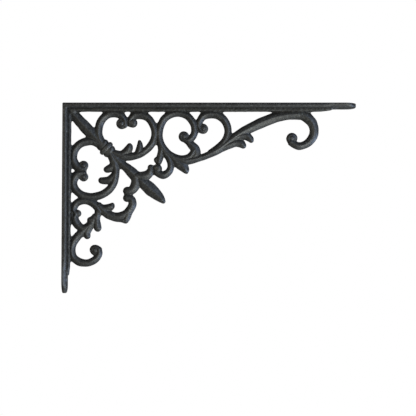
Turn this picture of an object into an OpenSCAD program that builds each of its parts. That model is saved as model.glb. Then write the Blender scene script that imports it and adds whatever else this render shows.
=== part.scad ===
// Cast iron scroll bracket for a shelf, seen from the side with its corner at the top left.
// X runs out from the wall, Y across the flanges, Z up. The origin is the outer corner,
// where the wall face (X = 0) and the shelf face (Z = 0) meet, in the middle of the width.

/* [Arms] */
// Length of the shelf arm, from the wall face to its round tip
shelf_len = 304.8; // [290:0.1:320]
// Length of the wall arm, from the shelf face down to its round tip
wall_len = 196.8; // [188:0.1:206]
// Width of both flanges
flange_w = 25; // [24:0.5:30]
// Thickness of both flanges
flange_t = 4.2; // [3.6:0.1:5]
// Radius of the cast inner edges of the flanges
edge_r = 1.2; // [0.6:0.1:1.6]
// Radius of the cast outer corner
corner_r = 1; // [0.5:0.1:1.5]

/* [Rib] */
// Height of the rib that runs along the inside of each flange
rib_h = 3.2; // [2.4:0.1:4]
// Thickness of the ribs
rib_t = 7; // [5:0.1:8]
// Distance from the shelf arm's tip to where its rib starts to fade out
shelf_rib_in = 45; // [42:0.5:50]
// Distance from the wall arm's tip to where its rib starts to fade out
wall_rib_in = 38; // [36:0.5:44]
// Radius of the curve on which a rib fades into its flange
fade_r = 120; // [90:1:150]

/* [Screw holes] */
// Bore of every screw hole
hole_d = 5; // [4.6:0.1:5.5]
// Widest part of the countersink at the arm tips
sink_d = 9.6; // [8:0.1:10]
// Distance from the shelf arm's tip to its screw hole
shelf_hole_in = 19; // [17:0.5:21]
// Distance from the wall arm's tip to its screw hole
wall_hole_in = 12.5; // [11:0.5:14]
// Distance from the corner to the pair of holes beside each rib
pair_in = 30; // [24:0.5:34]
// Spacing of the pair of holes, across the flange
pair_gap = 16; // [15:0.5:17]
// Countersink of the holes in a pair
pair_sink_d = 7.6; // [6.5:0.1:8]

/* [Scrollwork] */
// Length of shelf arm that runs on past the scrollwork
shelf_bare = 46.8; // [42:0.1:52]
// Length of wall arm that runs on past the scrollwork
wall_bare = 34.8; // [32:0.1:38]
// Usual width of a scroll bar, seen from the side
bar_w = 7; // [6.4:0.1:7.8]
// Depth of a scroll bar, ridge to ridge
bar_d = 8; // [7:0.1:10]
// Depth of the stems, which stand prouder
stem_d = 9; // [8:0.1:11]
// Depth of the leaves and buds, which lie lower than the bars they grow from
leaf_d = 7; // [5.5:0.1:7]
// Width of the flat on the crest of each ridge
crest_w = 1.6; // [1:0.1:2.2]
// Depth of the collar that holds the stems together
collar_d = 11; // [10:0.1:13]

/* [Hidden] */

iron = [0.2, 0.2, 0.21];
inset = flange_t + rib_h;
panel_reach = shelf_len - shelf_bare;
panel_drop = wall_len - wall_bare;

// Beads of the collar: [distance along its axis, outer radius], and the radius of their rims
beads = [[-4.8, 6.5], [0, 8], [4.6, 6.8]];
bead_r = 3.2;

// The strokes are drawn for these sizes, and place() fits them to the sizes above
drawn_inset = 7.4;
drawn_reach = 258;
drawn_drop = 162;
drawn_bar = 7;

// Spans of a stroke from its first to past its last, and the points drawn in each span
whole = [0, 99];
steps = 2;

// Section of a bar: half the thickness of its edges as a share of its depth, the widest that
// its crest may be as a share of its width, and the share of the depth that is left at no width
edge_share = 0.14;
crest_share = 0.5;
thin_share = 0.45;

// How far a cutter runs on past the faces that it cuts
over = 1;

$fn = 48;

// A stroke's knot is [distance from the wall face, distance below the shelf face, width]
function place(k) = [
    inset + (k[0] - drawn_inset) * panel_reach / drawn_reach,
    -inset - (k[1] - drawn_inset) * panel_drop / drawn_drop,
    k[2] * bar_w / drawn_bar
];

// Smooth curve through b and c that leaves b parallel to a-c and meets c parallel to b-d
function smooth(a, b, c, d, t) =
    b + (c - a) * t / 2 + (2 * a - 5 * b + 4 * c - d) * t * t / 2
    + (3 * b - a - 3 * c + d) * t * t * t / 2;

// Knots before the first and after the last, found by mirroring the end spans
function before(k) = 2 * k[0] - k[1];
function after(k) = 2 * k[len(k) - 1] - k[len(k) - 2];

function trail(k, first, last) = [
    for (i = [first : last], j = [0 : steps - 1])
        smooth(
            i == 0 ? before(k) : k[i - 1], k[i], k[i + 1],
            i == len(k) - 2 ? after(k) : k[i + 2], j / steps
        ),
    k[last + 1]
];

// Unit direction of the trail at point i
function heading(p, i) =
    let (a = p[max(i - 1, 0)], b = p[min(i + 1, len(p) - 1)], d = [b[0] - a[0], b[1] - a[1]])
    d / norm(d);

// Eight corners of a ridged bar: narrow flat crests front and back, and thin edges
function section(w, d) =
    let (crest = min(crest_w, w * crest_share) / 2, edge = d * edge_share, lift = d / 2)
    [
        [w / 2, edge], [crest, lift], [-crest, lift], [-w / 2, edge],
        [-w / 2, -edge], [-crest, -lift], [crest, -lift], [w / 2, -edge]
    ];

// Depth at width w: the bar thins out where it narrows to less than its usual width
function depth_at(w, d) = d * min(1, thin_share + (1 - thin_share) * w / bar_w);

// Bar swept through the knots; to cut a neighbour, only the spans near it are drawn
module stroke(knots, depth = bar_d, spans = whole) {
    path = trail([for (k = knots) place(k)], spans[0], min(spans[1], len(knots) - 2));
    last = len(path) - 1;
    points = [
        for (i = [0 : last])
            let (p = path[i], h = heading(path, i))
            for (s = section(p[2], depth_at(p[2], depth)))
                [p[0] - h[1] * s[0], s[1], p[1] + h[0] * s[0]]
    ];
    sides = [
        for (i = [0 : last - 1], j = [0 : 7])
            let (a = 8 * i + j, b = 8 * i + (j + 1) % 8)
            each [[a, b, b + 8], [a, b + 8, a + 8]]
    ];
    start = [[for (j = [7 : -1 : 0]) j]];
    end = [[for (j = [0 : 7]) 8 * last + j]];
    polyhedron(points = points, faces = concat(sides, start, end), convexity = 10);
}

// Round boss at the eye of a scroll
module eye(x, drop, r) {
    p = place([x, drop, r * 2]);
    translate([p[0], 0, p[1]])
        sphere(r = p[2] / 2);
}

// Screw hole along Z through a flange of thickness flange_t. Its countersink is as wide as sink
// at the flange, and runs on past the rib, where that still has some of its height.
module screw_hole(sink) {
    beyond = rib_h + over;
    translate([0, 0, -over])
        cylinder(d = hole_d, h = flange_t + 2 * over);
    translate([0, 0, flange_t - (sink - hole_d) / 2])
        cylinder(d1 = hole_d, d2 = sink + 2 * beyond, h = (sink - hole_d) / 2 + beyond);
}

// Section of a flange, flat below and with rounded upper edges
module flange_section() {
    translate([-flange_w / 2, 0])
        square([flange_w, flange_t - edge_r]);
    translate([edge_r - flange_w / 2, 0])
        square([flange_w - 2 * edge_r, flange_t]);
    for (side = [-1, 1])
        translate([side * (flange_w / 2 - edge_r), flange_t - edge_r])
            circle(r = edge_r);
}

// Flange lying on Z = 0 from X = 0 to its round tip, with its screw holes
module flange(length, hole_in) {
    difference() {
        union() {
            rotate([90, 0, 90])
                linear_extrude(length - flange_w / 2)
                    flange_section();
            translate([length - flange_w / 2, 0, 0])
                rotate_extrude()
                    intersection() {
                        flange_section();
                        square([flange_w, flange_w]);
                    }
        }
        translate([length - hole_in, 0, 0])
            screw_hole(sink_d);
        for (side = [-1, 1])
            translate([pair_in, side * pair_gap / 2, 0])
                screw_hole(pair_sink_d);
    }
}

module shelf_flange() {
    mirror([0, 0, 1])
        difference() {
            flange(shelf_len, shelf_hole_in);
            difference() {
                translate([-over, -flange_w, -over])
                    cube([over + corner_r, 2 * flange_w, over + corner_r]);
                translate([corner_r, 0, corner_r])
                    rotate([90, 0, 0])
                        cylinder(r = corner_r, h = 3 * flange_w, center = true);
            }
        }
}

module wall_flange() {
    difference() {
        rotate([0, 90, 0])
            flange(wall_len, wall_hole_in);
        translate([-over, -flange_w, -flange_t])
            cube([flange_t + 2 * over, 2 * flange_w, flange_t + over]);
    }
}

// Rib on a flange that lies on Z = 0: straight as far as run, then fading on a large radius
// towards its screw hole, where it stops
module rib(from, run, stop) {
    rotate([90, 0, 0])
        linear_extrude(rib_t, center = true)
            intersection() {
                translate([from, flange_t])
                    square([stop - from, rib_h]);
                union() {
                    translate([from, 0])
                        square([run - from, inset]);
                    translate([run, inset - fade_r])
                        circle(r = fade_r, $fn = 240);
                }
            }
}

module shelf_rib_body() {
    mirror([0, 0, 1])
        difference() {
            rib(flange_t, shelf_len - shelf_rib_in, shelf_len - shelf_hole_in);
            translate([shelf_len - shelf_hole_in, 0, 0])
                screw_hole(sink_d);
        }
}

module wall_rib_body() {
    rotate([0, 90, 0])
        difference() {
            rib(inset, wall_len - wall_rib_in, wall_len - wall_hole_in);
            translate([wall_len - wall_hole_in, 0, 0])
                screw_hole(sink_d);
        }
}

// Spear that grows out of the corner towards the collar
module corner_spear_body() {
    stroke([
        [6.7, 6.9, 4], [12, 12.6, 9.4], [22.6, 24.2, 11.6], [33.5, 35.5, 11.6], [42, 44, 9]
    ], stem_d);
}

// Three cast beads round the meeting point of the stems, the middle one the largest
module collar_body() {
    p = place([44.5, 46.4, bar_w]);
    intersection() {
        translate([p[0], 0, p[1]])
            rotate([0, 135, 0])
                rotate_extrude()
                    for (b = beads)
                        union() {
                            translate([0, b[0] - bead_r])
                                square([b[1] - bead_r, 2 * bead_r]);
                            translate([b[1] - bead_r, b[0]])
                                circle(r = bead_r);
                        }
        cube([2 * shelf_len, collar_d, 2 * wall_len], center = true);
    }
}

module centre_stem_body(spans = whole) {
    stroke([
        [45, 47, 8], [54, 56.5, 9.4], [60.7, 62.8, 8.4], [66.5, 67.1, 9], [72.6, 73, 11.2],
        [80, 80.5, 9]
    ], stem_d, spans);
}

module pendant_spear_body(spans = whole) {
    stroke([
        [77, 76, 8], [83.5, 82.5, 12], [90, 88.4, 12.9], [96.3, 93.9, 11.2], [101.5, 98.7, 7.6],
        [104.2, 102, 3.8]
    ], stem_d, spans);
}

module upper_left_scroll_body(spans = whole) {
    stroke([
        [42, 44, 7], [37.3, 35.5, 7.4], [36.4, 26.5, 7.8], [39.2, 17.3, 7.8], [45.9, 11, 7.7],
        [54, 9.6, 8], [60.8, 12.8, 7.2], [64.2, 18.5, 5.4], [63.8, 23.5, 3.6]
    ], spans = spans);
    eye(60.3, 20.4, 5.3);
}

module upper_right_scroll_body(spans = whole) {
    stroke([
        [69.2, 22.6, 3.6], [69, 17.5, 5.2], [73, 12.4, 7.6], [79.8, 11.2, 8.4], [87.9, 14.6, 7.3],
        [93.3, 22.4, 7], [95.2, 31.5, 7.2], [93, 39.8, 7.1], [87.4, 47, 6.9], [79.4, 52.5, 6.8],
        [70, 54.8, 7.6], [61, 54.2, 8.6], [51, 50.4, 6]
    ], spans = spans);
    eye(72.1, 19.9, 4.4);
}

module upper_leaf_body() {
    stroke([[62.5, 53.4, 5], [67, 50.2, 8], [68.9, 46, 6.6], [68.3, 42.3, 3]], leaf_d);
    stroke([[76.8, 53, 6], [79, 48.5, 7.4], [79.6, 43, 5.6], [79, 38.6, 2.4]], leaf_d);
}

module side_upper_scroll_body(spans = whole) {
    stroke([
        [42, 44, 8], [31.5, 39.4, 7.8], [24, 39.1, 8], [16.8, 42, 7.6], [11.7, 48.2, 7.5],
        [10.2, 56, 7.2], [12, 62.6, 8], [17, 67.2, 6.6], [22.5, 68.6, 3.6]
    ], spans = spans);
    eye(20.9, 64.3, 4.7);
}

module side_lower_scroll_body(spans = whole) {
    stroke([
        [22.5, 71.9, 3.6], [17.3, 72.8, 6], [12.4, 76, 7.6], [10.4, 82.6, 7.3], [13, 89.8, 7.5],
        [20.2, 95.3, 7.6], [30, 97, 7.6], [40, 94.7, 7.6], [48.6, 88.4, 7.4], [53.2, 80, 7.1],
        [54.8, 70.5, 6.8], [53.2, 61.5, 9.2], [48.8, 52, 6]
    ], spans = spans);
    eye(21, 76.3, 4.4);
}

module side_leaf_body() {
    stroke([[53.8, 60.5, 5], [51.8, 65, 8], [47.6, 67.6, 7.6], [43.8, 68.8, 4]], leaf_d);
    stroke([
        [54, 71.5, 5], [51.6, 76.6, 8], [47.2, 79.6, 7.6], [42.4, 80.1, 6.8], [37.7, 79.8, 4.4]
    ], leaf_d);
}

module cross_arm_right_body(spans = whole) {
    stroke([
        [76, 76, 9], [82.6, 75.2, 10], [88, 73, 8.8], [90.8, 69, 7], [91, 65.4, 4.4]
    ], spans = spans);
}

module cross_arm_left_body(spans = whole) {
    stroke([
        [76.6, 76, 10], [75.4, 83.2, 10], [72.4, 88.8, 9.6], [68.4, 91.2, 8.4], [63.2, 90.6, 5.8]
    ], spans = spans);
}

module ring_scroll_body(spans = whole) {
    stroke([
        [137, 48, 6.4], [131, 55.7, 7], [121, 57.5, 7.4], [110.6, 53.4, 7.8],
        [102.7, 44.5, 7.5], [99.5, 34, 7.2], [100.6, 24, 7.2], [105, 15.4, 7.4], [112.8, 10.4, 7],
        [122, 9.8, 6.8], [130.5, 13.8, 6.9], [135.8, 21.5, 7], [136.4, 30, 6.8],
        [132.2, 36.7, 6.6], [127, 38.6, 5]
    ], spans = spans);
    eye(125.4, 34, 5.2);
}

module ring_bud_body() {
    stroke([
        [128, 38, 5], [133.7, 43.3, 8], [137.6, 47.6, 8.6], [138, 53, 8], [133, 58, 5]
    ], leaf_d);
}

module drop_loop_body() {
    stroke([[102.6, 46, 7.4], [101.3, 52, 6.8], [100, 58, 6.8], [98, 64.5, 6]]);
    stroke([
        [104.2, 49, 7.6], [109.6, 56.4, 6.6], [111.8, 64, 6.5], [109.6, 70.7, 6.9],
        [103.6, 74.3, 7.6], [95.6, 70.8, 6.6]
    ]);
    eye(97.6, 67.3, 4.1);
    eye(97.2, 58.6, 2.9);
}

module drop_leaf_body() {
    stroke([
        [111, 54, 7], [117.6, 60, 10], [123.2, 64, 10.8], [126.8, 68.2, 7.6], [128.3, 71.4, 3]
    ], leaf_d);
}

module long_stem_body(spans = whole) {
    stroke([
        [121, 61, 4], [132, 58.9, 7.4], [142, 56.5, 6.2], [150, 53.4, 6.4], [158, 49.5, 8],
        [166, 44.5, 9], [173, 40, 10.4], [181, 34.4, 11.8], [190, 28.4, 11.2], [200, 22.5, 10],
        [211, 17.6, 10.4], [222, 13.8, 9.6], [233, 11.8, 9], [245, 11, 8.4]
    ], stem_d, spans);
}

module right_scroll_body() {
    stroke([
        [144, 29, 3.2], [140.8, 24.5, 5], [141.5, 18.8, 6.4], [145.5, 12.8, 7.4],
        [152.5, 10.6, 8.2], [160, 11.3, 8.2], [167, 16.3, 7.6], [171, 24.5, 7.2],
        [170.9, 32.5, 7.1], [167.2, 39.6, 6.8], [160.5, 46.3, 6.4], [153, 50.8, 5]
    ]);
    eye(145.4, 25.8, 5);
}

module stem_leaf_body() {
    stroke([[175.5, 38.8, 5], [180.8, 40.2, 7.6], [185.6, 42, 7], [188.2, 45.2, 3.2]], leaf_d);
    stroke([[187.5, 31, 6], [191.2, 33.8, 8.3], [194.8, 37, 5.8], [195.8, 39, 2.6]], leaf_d);
}

module shelf_hook_scroll_body() {
    stroke([
        [238, 10.4, 8], [249.4, 11.6, 10.2], [257.2, 17.2, 10.2], [260.8, 24.5, 9.1],
        [260.6, 32, 8.8], [256.8, 38.6, 8.2], [250.5, 42.9, 7.5], [243.5, 43.6, 7.6],
        [236.5, 39.6, 6.8]
    ]);
    eye(237.9, 35.9, 5.5);
}

module big_loop_body(spans = whole) {
    stroke([
        [62.4, 98.4, 5.6], [68.4, 98.4, 7.2], [71.6, 101, 7.8], [71.9, 105.2, 7.9], [69.4, 110.2, 8],
        [64.6, 114.9, 8], [57.3, 118, 9.1], [49.6, 116.6, 8.6], [42.6, 111.8, 8.6],
        [37, 105.5, 8]
    ], spans = spans);
}

module loop_leaf_body() {
    stroke([[40, 108.5, 6], [45, 109, 8], [49.4, 107.2, 6.8], [51.3, 104.8, 3.4]], leaf_d);
}

module loop_spear_body() {
    stroke([[68.5, 112, 6.4], [66.6, 117.3, 7.2], [64.7, 121, 6], [64.5, 124, 2.8]], leaf_d);
}

module lower_ring_body() {
    stroke([
        [38.5, 113, 7], [34.3, 106.6, 7.6], [28, 101.9, 7.6], [21.2, 100.7, 7.6], [14.6, 103, 7],
        [10.6, 108.5, 6.4]
    ]);
    stroke([
        [9.6, 106, 6], [11, 114.5, 7.5], [12, 120.5, 8.2], [15, 126.3, 8.2], [20.5, 129.4, 7],
        [26, 128, 6.6], [30.2, 124.8, 6]
    ]);
    eye(14.7, 114.4, 3.8);
}

module lower_leaf_body() {
    stroke([[37.2, 110, 7], [35, 119, 6.9], [35.8, 126, 7.6], [38.2, 131.2, 3.6]], leaf_d);
    stroke([[34, 117, 7], [28.6, 126, 8], [24.9, 133.5, 6.8], [26.1, 140.6, 2.8]], leaf_d);
    stroke([[34, 119.5, 7], [30, 120.8, 6], [26.6, 122, 4.6]], leaf_d);
}

module wall_hook_scroll_body() {
    stroke([
        [28.5, 125.5, 6.4], [21.2, 132.5, 7.6], [14.6, 138.6, 7.8], [10.4, 145.8, 7.2],
        [9.2, 153, 7.2], [11.3, 160.2, 7.5], [18, 164.9, 7.6], [26, 165.5, 7], [33.2, 162.3, 7],
        [37.6, 156.4, 6.2], [37.6, 150.7, 5]
    ]);
    eye(33.4, 152.3, 5.3);
}

module shelf_arm() {
    color(iron) shelf_flange();
}

module wall_arm() {
    color(iron) wall_flange();
}

module shelf_rib() {
    color(iron) shelf_rib_body();
}

module wall_rib() {
    color(iron) wall_rib_body();
}

module corner_spear() {
    color(iron)
        difference() {
            corner_spear_body();
            shelf_rib_body();
            wall_rib_body();
            collar_body();
        }
}

module collar() {
    color(iron) collar_body();
}

module centre_stem() {
    color(iron)
        difference() {
            centre_stem_body();
            collar_body();
        }
}

module pendant_spear() {
    color(iron)
        difference() {
            pendant_spear_body();
            centre_stem_body([3, 4]);
        }
}

module upper_left_scroll() {
    color(iron)
        difference() {
            upper_left_scroll_body();
            shelf_rib_body();
            collar_body();
            corner_spear_body();
        }
}

module upper_right_scroll() {
    color(iron)
        difference() {
            upper_right_scroll_body();
            shelf_rib_body();
            collar_body();
            centre_stem_body([0, 1]);
            upper_left_scroll_body([5, 7]);
        }
}

module upper_leaf() {
    color(iron)
        difference() {
            upper_leaf_body();
            upper_right_scroll_body([8, 11]);
        }
}

module side_upper_scroll() {
    color(iron)
        difference() {
            side_upper_scroll_body();
            wall_rib_body();
            collar_body();
            corner_spear_body();
        }
}

module side_lower_scroll() {
    color(iron)
        difference() {
            side_lower_scroll_body();
            wall_rib_body();
            collar_body();
            centre_stem_body([0, 2]);
            side_upper_scroll_body([5, 7]);
        }
}

module side_leaf() {
    color(iron)
        difference() {
            side_leaf_body();
            side_lower_scroll_body([8, 11]);
            centre_stem_body([0, 1]);
        }
}

module cross_arm_right() {
    color(iron)
        difference() {
            cross_arm_right_body();
            centre_stem_body([2, 4]);
            pendant_spear_body([0, 2]);
        }
}

module cross_arm_left() {
    color(iron)
        difference() {
            cross_arm_left_body();
            centre_stem_body([2, 4]);
            pendant_spear_body([0, 2]);
            cross_arm_right_body([0, 1]);
        }
}

module ring_scroll() {
    color(iron)
        difference() {
            ring_scroll_body();
            shelf_rib_body();
            upper_right_scroll_body([4, 7]);
        }
}

module ring_bud() {
    color(iron)
        difference() {
            ring_bud_body();
            ring_scroll_body([0, 2]);
            ring_scroll_body([12, 13]);
            long_stem_body([0, 2]);
        }
}

module drop_loop() {
    color(iron)
        difference() {
            drop_loop_body();
            ring_scroll_body([2, 4]);
            cross_arm_right_body();
            drop_leaf_body();
        }
}

module drop_leaf() {
    color(iron)
        difference() {
            drop_leaf_body();
            ring_scroll_body([1, 3]);
            long_stem_body([0, 1]);
        }
}

module long_stem() {
    color(iron)
        difference() {
            long_stem_body();
            ring_scroll_body([0, 2]);
            shelf_rib_body();
        }
}

module right_scroll() {
    color(iron)
        difference() {
            right_scroll_body();
            shelf_rib_body();
            ring_scroll_body([9, 12]);
            long_stem_body([2, 7]);
        }
}

module stem_leaf() {
    color(iron)
        difference() {
            stem_leaf_body();
            long_stem_body([5, 9]);
        }
}

module shelf_hook_scroll() {
    color(iron)
        difference() {
            shelf_hook_scroll_body();
            shelf_rib_body();
            long_stem_body([11, 12]);
        }
}

module big_loop() {
    color(iron)
        difference() {
            big_loop_body();
            cross_arm_left_body([1, 3]);
            lower_ring_body();
        }
}

module loop_leaf() {
    color(iron)
        difference() {
            loop_leaf_body();
            big_loop_body([6, 8]);
        }
}

module loop_spear() {
    color(iron)
        difference() {
            loop_spear_body();
            big_loop_body([3, 5]);
        }
}

module lower_ring() {
    color(iron)
        difference() {
            lower_ring_body();
            wall_rib_body();
            side_lower_scroll_body([4, 7]);
        }
}

module lower_leaf() {
    color(iron)
        difference() {
            lower_leaf_body();
            lower_ring_body();
            big_loop_body([7, 8]);
        }
}

module wall_hook_scroll() {
    color(iron)
        difference() {
            wall_hook_scroll_body();
            wall_rib_body();
            lower_ring_body();
            lower_leaf_body();
        }
}

shelf_arm();
wall_arm();
shelf_rib();
wall_rib();
corner_spear();
collar();
centre_stem();
pendant_spear();
upper_left_scroll();
upper_right_scroll();
upper_leaf();
side_upper_scroll();
side_lower_scroll();
side_leaf();
cross_arm_right();
cross_arm_left();
ring_scroll();
ring_bud();
drop_loop();
drop_leaf();
long_stem();
right_scroll();
stem_leaf();
shelf_hook_scroll();
big_loop();
loop_leaf();
loop_spear();
lower_ring();
lower_leaf();
wall_hook_scroll();
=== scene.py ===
import math

import bpy
import numpy as np
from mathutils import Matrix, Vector


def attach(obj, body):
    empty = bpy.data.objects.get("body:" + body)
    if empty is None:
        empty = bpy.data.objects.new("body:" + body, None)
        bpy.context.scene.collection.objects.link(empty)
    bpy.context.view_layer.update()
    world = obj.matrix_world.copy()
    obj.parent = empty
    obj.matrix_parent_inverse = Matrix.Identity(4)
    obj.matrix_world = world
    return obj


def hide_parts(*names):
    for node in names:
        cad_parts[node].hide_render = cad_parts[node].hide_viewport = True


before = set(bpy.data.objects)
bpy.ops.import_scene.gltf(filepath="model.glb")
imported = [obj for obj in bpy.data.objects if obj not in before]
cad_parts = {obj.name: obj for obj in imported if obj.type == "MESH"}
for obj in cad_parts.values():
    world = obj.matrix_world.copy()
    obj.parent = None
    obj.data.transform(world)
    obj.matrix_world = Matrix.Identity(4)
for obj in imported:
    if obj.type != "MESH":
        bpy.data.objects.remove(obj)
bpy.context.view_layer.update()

# Scroll bracket for a shelf, one black iron casting. Pieces are worked out in millimetres:
# "across" is the distance from the wall face (X), "drop" the distance below the shelf face (-Z).
# A piece of the scrollwork is an outline with a height over it, which its front and its back
# share but for their unevenness.
casting = {
    "gridStep": 0.4,      # mesh cell of the scrollwork
    "curveSteps": 6,      # straight runs in each span of a scroll
    "valley": 0.4,        # how softly the ridges of two bars meet
    "edgeShare": 0.26,    # share of a bar's half depth that is left at its edge
    "shoulderPower": 0.85,  # lower makes a fuller shoulder
    "outlineGrowth": 0.3,  # what the fillets and the coat add all round
    "rimHeight": 0.75,    # half the thickness of the thinnest edge
    "rimSlope": 0.5,      # how steeply it rises inwards
    "rimReach": 1.5,      # and how far
    "outlineWave": 0.14,  # unevenness that the sand mould leaves on the outline
    "faceWave": 0.10,     # and on the faces
    "waveLength": 11.0,
    "waveCount": 6,       # sine waves that make up one unevenness
    "waveShares": (0.6, 1.5),  # their lengths, as shares of the wavelength
    "waveSpread": 3.5,    # brings their sum to about -1 to 1
    "barReach": 8.0,      # nothing of a bar lies further than this from its knots
    "sharpAngle": 58,     # degrees from which an edge isn't shaded smooth
}
shelfLength = 304.8
shelfHole = 285.8    # where the screw hole near the tip is
wallLength = 196.8
wallHole = 184.3
flangeThickness = 4.2
ribHeight = 3.2
ribFoot = flangeThickness + ribHeight
screwBore = 5.0
tipSink = 9.6        # width of the countersink near the tip
pairSink = 7.6       # and of the pair near the corner
barDepth = 8.0       # thickness from front to back
stemDepth = 9.0
leafDepth = 7.0
usualWidth = 7.0     # a bar narrower than this is thinner too
thinShare = 0.45     # share of the depth that is left where a bar's width runs out
barRidge = 1.25      # how round a crest is, from 1 for a sharp one
stemRidge = 1.15
bladeRidge = 1.0
barFillet = 2.4      # reach of the cast fillet where a bar meets its neighbour
leafFillet = 1.4
ribFillet = 4.0
strokeFillet = 1.2   # the same between the strokes of one piece
ballEdge = 0.2       # height of a ball at its edge, as a share of its radius
ballDome = 0.8       # and in its middle
ballFall = 3.0       # how fast it falls off outside its edge, and a bead of the collar too
outsideSlope = 1.5   # the same for a rib
beadLow = 1.1        # least half thickness of the collar
outlineSeed = 3      # seeds of the unevenness of the outline, the faces and the ribs
frontSeed = 5
backSeed = 6
ribSeed = 9
farOut = -10.0       # stands for a point nowhere near a piece


def smoothMax(a, b, reach):
    # the larger of a and b, rounded over by (reach - |a - b|)^2 / (4 reach) where they come close
    return np.maximum(a, b) + np.maximum(reach - np.abs(a - b), 0) ** 2 / (4 * reach)


def castWave(u, v, wavelength, seed):
    # sum of sine waves, each sin(rate * distance + phase), of seeded direction, length and phase
    draw = np.random.default_rng(seed)
    count = (casting["waveCount"], 1)
    turn = draw.uniform(0, 2 * math.pi, count)
    rate = 2 * math.pi / (wavelength * draw.uniform(*casting["waveShares"], count))
    phase = draw.uniform(0, 2 * math.pi, count)
    shape = np.shape(u)
    flatU, flatV = np.ravel(u), np.ravel(v)
    waves = np.sin((flatU * np.cos(turn) + flatV * np.sin(turn)) * rate + phase)
    return (waves.sum(axis=0) / casting["waveSpread"]).reshape(shape)


def roundedEdge(inside, radius):
    # how much a quarter round of this radius takes off a face, at this distance inside its edge
    reach = np.clip(radius - inside, 0, radius)
    return radius - np.sqrt(radius ** 2 - reach ** 2)


def curveThrough(knots, perSpan):
    # curve through all the knots: each span leaves its first knot parallel to the line between
    # that knot's neighbours, and the end knots are mirrored to give the ends their neighbours
    k = np.array(knots, float)
    k = np.vstack([2 * k[0] - k[1], k, 2 * k[-1] - k[-2]])
    a, b, c, d = k[:-3, None], k[1:-2, None], k[2:-1, None], k[3:, None]
    t = (np.arange(perSpan) / perSpan)[None, :, None]
    spans = (
        b + (c - a) * t / 2 + (2 * a - 5 * b + 4 * c - d) * t ** 2 / 2
        + (3 * b - a - 3 * c + d) * t ** 3 / 2
    )
    return np.vstack([spans.reshape(-1, 3), k[-2]])


def barProfile(ratio, ridge):
    # height over a bar's half width: e + (1 - e)(1 - (1 - ratio)^p)^q, with e the edge's share, p
    # the ridge and q the shoulder's power, and a slope outside it
    share = casting["edgeShare"]
    inner = 1 - (1 - np.clip(ratio, 0, 1)) ** ridge
    return share + (1 - share) * inner ** casting["shoulderPower"] + np.minimum(ratio, 0)


def strokeField(across, drop, knots, depth, ridge):
    # the bar is a chain of tapered runs: a point's depth inside it is the half width of the
    # nearest run less the distance to it, and past the ends distances count double. A narrow bar
    # is thinner by thin = s + (1 - s) * width / usual width, with s the share that is left.
    path = curveThrough(knots, casting["curveSteps"])
    start, end = path[:-1, None], path[1:, None]
    run = end - start
    length = np.hypot(run[..., 0], run[..., 1])
    awayX, awayZ = across - start[..., 0], drop - start[..., 1]
    along = (awayX * run[..., 0] + awayZ * run[..., 1]) / length
    side = (awayX * run[..., 1] - awayZ * run[..., 0]) / length
    onRun = np.clip(along, 0, length)
    past = along - onRun
    past[0] *= np.where(past[0] < 0, 2, 1)
    past[-1] *= np.where(past[-1] > 0, 2, 1)
    half = (start[..., 2] + run[..., 2] * onRun / length) / 2
    inside = half - np.hypot(side, past)
    best = inside.argmax(axis=0)[None]
    inside = np.take_along_axis(inside, best, 0)[0]
    half = np.take_along_axis(half, best, 0)[0]
    thin = np.minimum(1, thinShare + (1 - thinShare) * 2 * half / usualWidth)
    return inside, depth / 2 * thin * barProfile(inside / half, ridge)


def ballField(across, drop, ball, dome):
    # ball of radius r: height r (e + (dome - e) sqrt(1 - a^2)), with e its edge's share and a r
    # the distance from its middle
    x, z, radius = ball
    away = np.hypot(across - x, drop - z) / radius
    crown = np.sqrt(np.clip(1 - away ** 2, 0, 1))
    height = radius * (ballEdge + (dome - ballEdge) * crown)
    return (1 - away) * radius, height - ballFall * np.maximum(away - 1, 0)


scrollEye = {  # the eye in which a scroll's end curls, in shares of the eye's radius
    "out": (0.72, 0.5),   # how far the bar runs off the middle, where it enters and where it ends
    "width": (0.8, 0.4),  # and how wide it is
    "knots": 8,
    "bedDome": 0.4,       # height of the bed under it
    "knob": 0.55,         # radius of the knob in the middle
    "knobDome": 1.2,      # and its height, as a share of its own radius
}


def curlKnots(curl):
    # spiral that carries a scroll's bar on round its eye: angle, distance and width all change
    # evenly from its start to its end
    x, z, radius, enter, turn = curl
    count = scrollEye["knots"]
    angle = np.radians(np.linspace(enter, enter + turn, count))
    out = radius * np.linspace(*scrollEye["out"], count)
    width = radius * np.linspace(*scrollEye["width"], count)
    return np.stack([x + out * np.cos(angle), z + out * np.sin(angle), width], axis=1)


def scrollField(piece, across, drop):
    # the strokes, balls and eyes of one piece, merged with smoothMax near its knots, and farOut
    # everywhere else
    reach = casting["barReach"]
    knots = np.array([k for stroke in piece["strokes"] for k in stroke])
    near = (
        (across > knots[:, 0].min() - reach) & (across < knots[:, 0].max() + reach)
        & (drop > knots[:, 1].min() - reach) & (drop < knots[:, 1].max() + reach)
    )
    x, z = across[near], drop[near]
    inside, height = np.full(x.shape, farOut), np.full(x.shape, farOut)
    ridge = piece.get("ridge", barRidge)
    strokes = piece["strokes"] + [curlKnots(curl) for curl in piece.get("curls", [])]
    parts = [strokeField(x, z, stroke, piece["depth"], ridge) for stroke in strokes]
    parts += [ballField(x, z, ball, ballDome) for ball in piece.get("balls", [])]
    for eyeX, eyeZ, radius, _, _ in piece.get("curls", []):
        knob = radius * scrollEye["knob"]
        parts.append(ballField(x, z, (eyeX, eyeZ, radius), scrollEye["bedDome"]))
        parts.append(ballField(x, z, (eyeX, eyeZ, knob), scrollEye["knobDome"]))
    for partInside, partHeight in parts:
        inside = smoothMax(inside, partInside, strokeFillet)
        height = smoothMax(height, partHeight, casting["valley"])
    fullInside, fullHeight = np.full(across.shape, farOut), np.full(across.shape, farOut)
    fullInside[near], fullHeight[near] = inside, height
    return fullInside, fullHeight


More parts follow.
